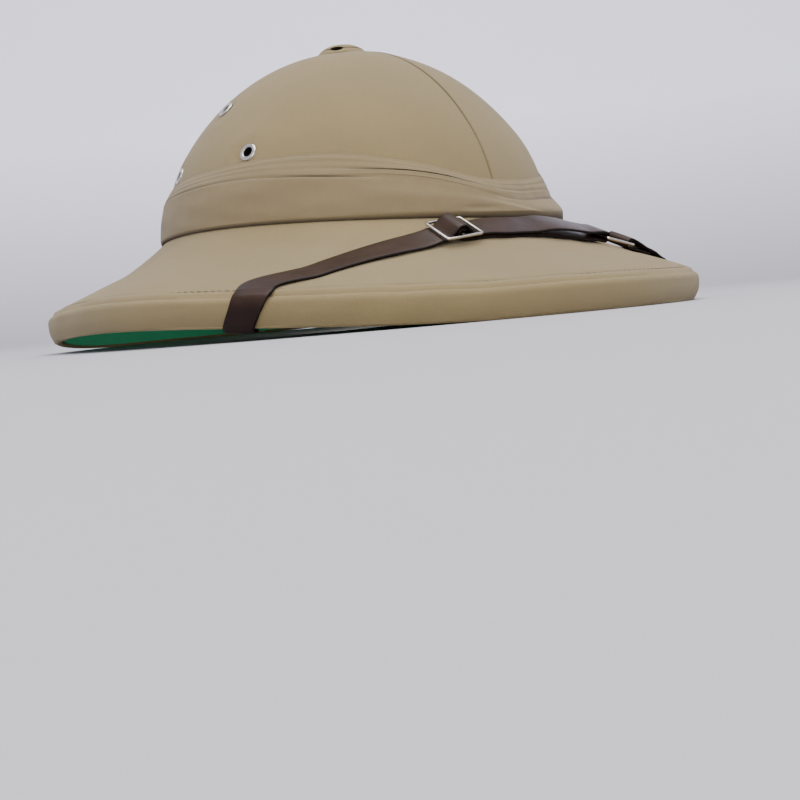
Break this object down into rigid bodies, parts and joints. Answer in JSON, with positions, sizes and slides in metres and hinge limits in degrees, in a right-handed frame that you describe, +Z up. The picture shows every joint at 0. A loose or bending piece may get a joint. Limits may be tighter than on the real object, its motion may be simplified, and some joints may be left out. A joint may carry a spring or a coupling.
{
  "type": "pith helmet",
  "caption": "Khaki cloth-covered pith helmet with a pleated puggaree, air eyelets, a top vent button, a green under-brim and a dark leather chin strap worn over the brim.",
  "frame": {"origin": "middle of the helmet on the surface that its rim rests on", "axes": "+Z up through the top vent, -Y towards the front of the helmet, +X towards the wearer's left"},
  "size_m": [0.314, 0.36, 0.1468],
  "materials": {
    "khaki": "matte cotton weave",
    "khaki_band": "matte cotton weave",
    "green": "matte cotton weave",
    "strap": "smooth, slightly glossy",
    "bright_metal": "polished",
    "stem_metal": "plain"
  },
  "bodies": {
    "root": {"crown": "khaki", "brim": "khaki", "brim_lining": "green", "puggaree": "khaki_band", "vent_collar": "khaki", "vent_cap": "khaki", "vent_stem": "stem_metal", "eyelet_front_right": "bright_metal", "eyelet_upper_right": "bright_metal", "eyelet_rear_right": "bright_metal", "eyelet_front_left": "bright_metal", "eyelet_upper_left": "bright_metal", "eyelet_rear_left": "bright_metal", "strap_long": "strap", "strap_slider": "bright_metal", "strap_ring": "bright_metal", "strap_short": "strap"}
  },
  "joints": []
}
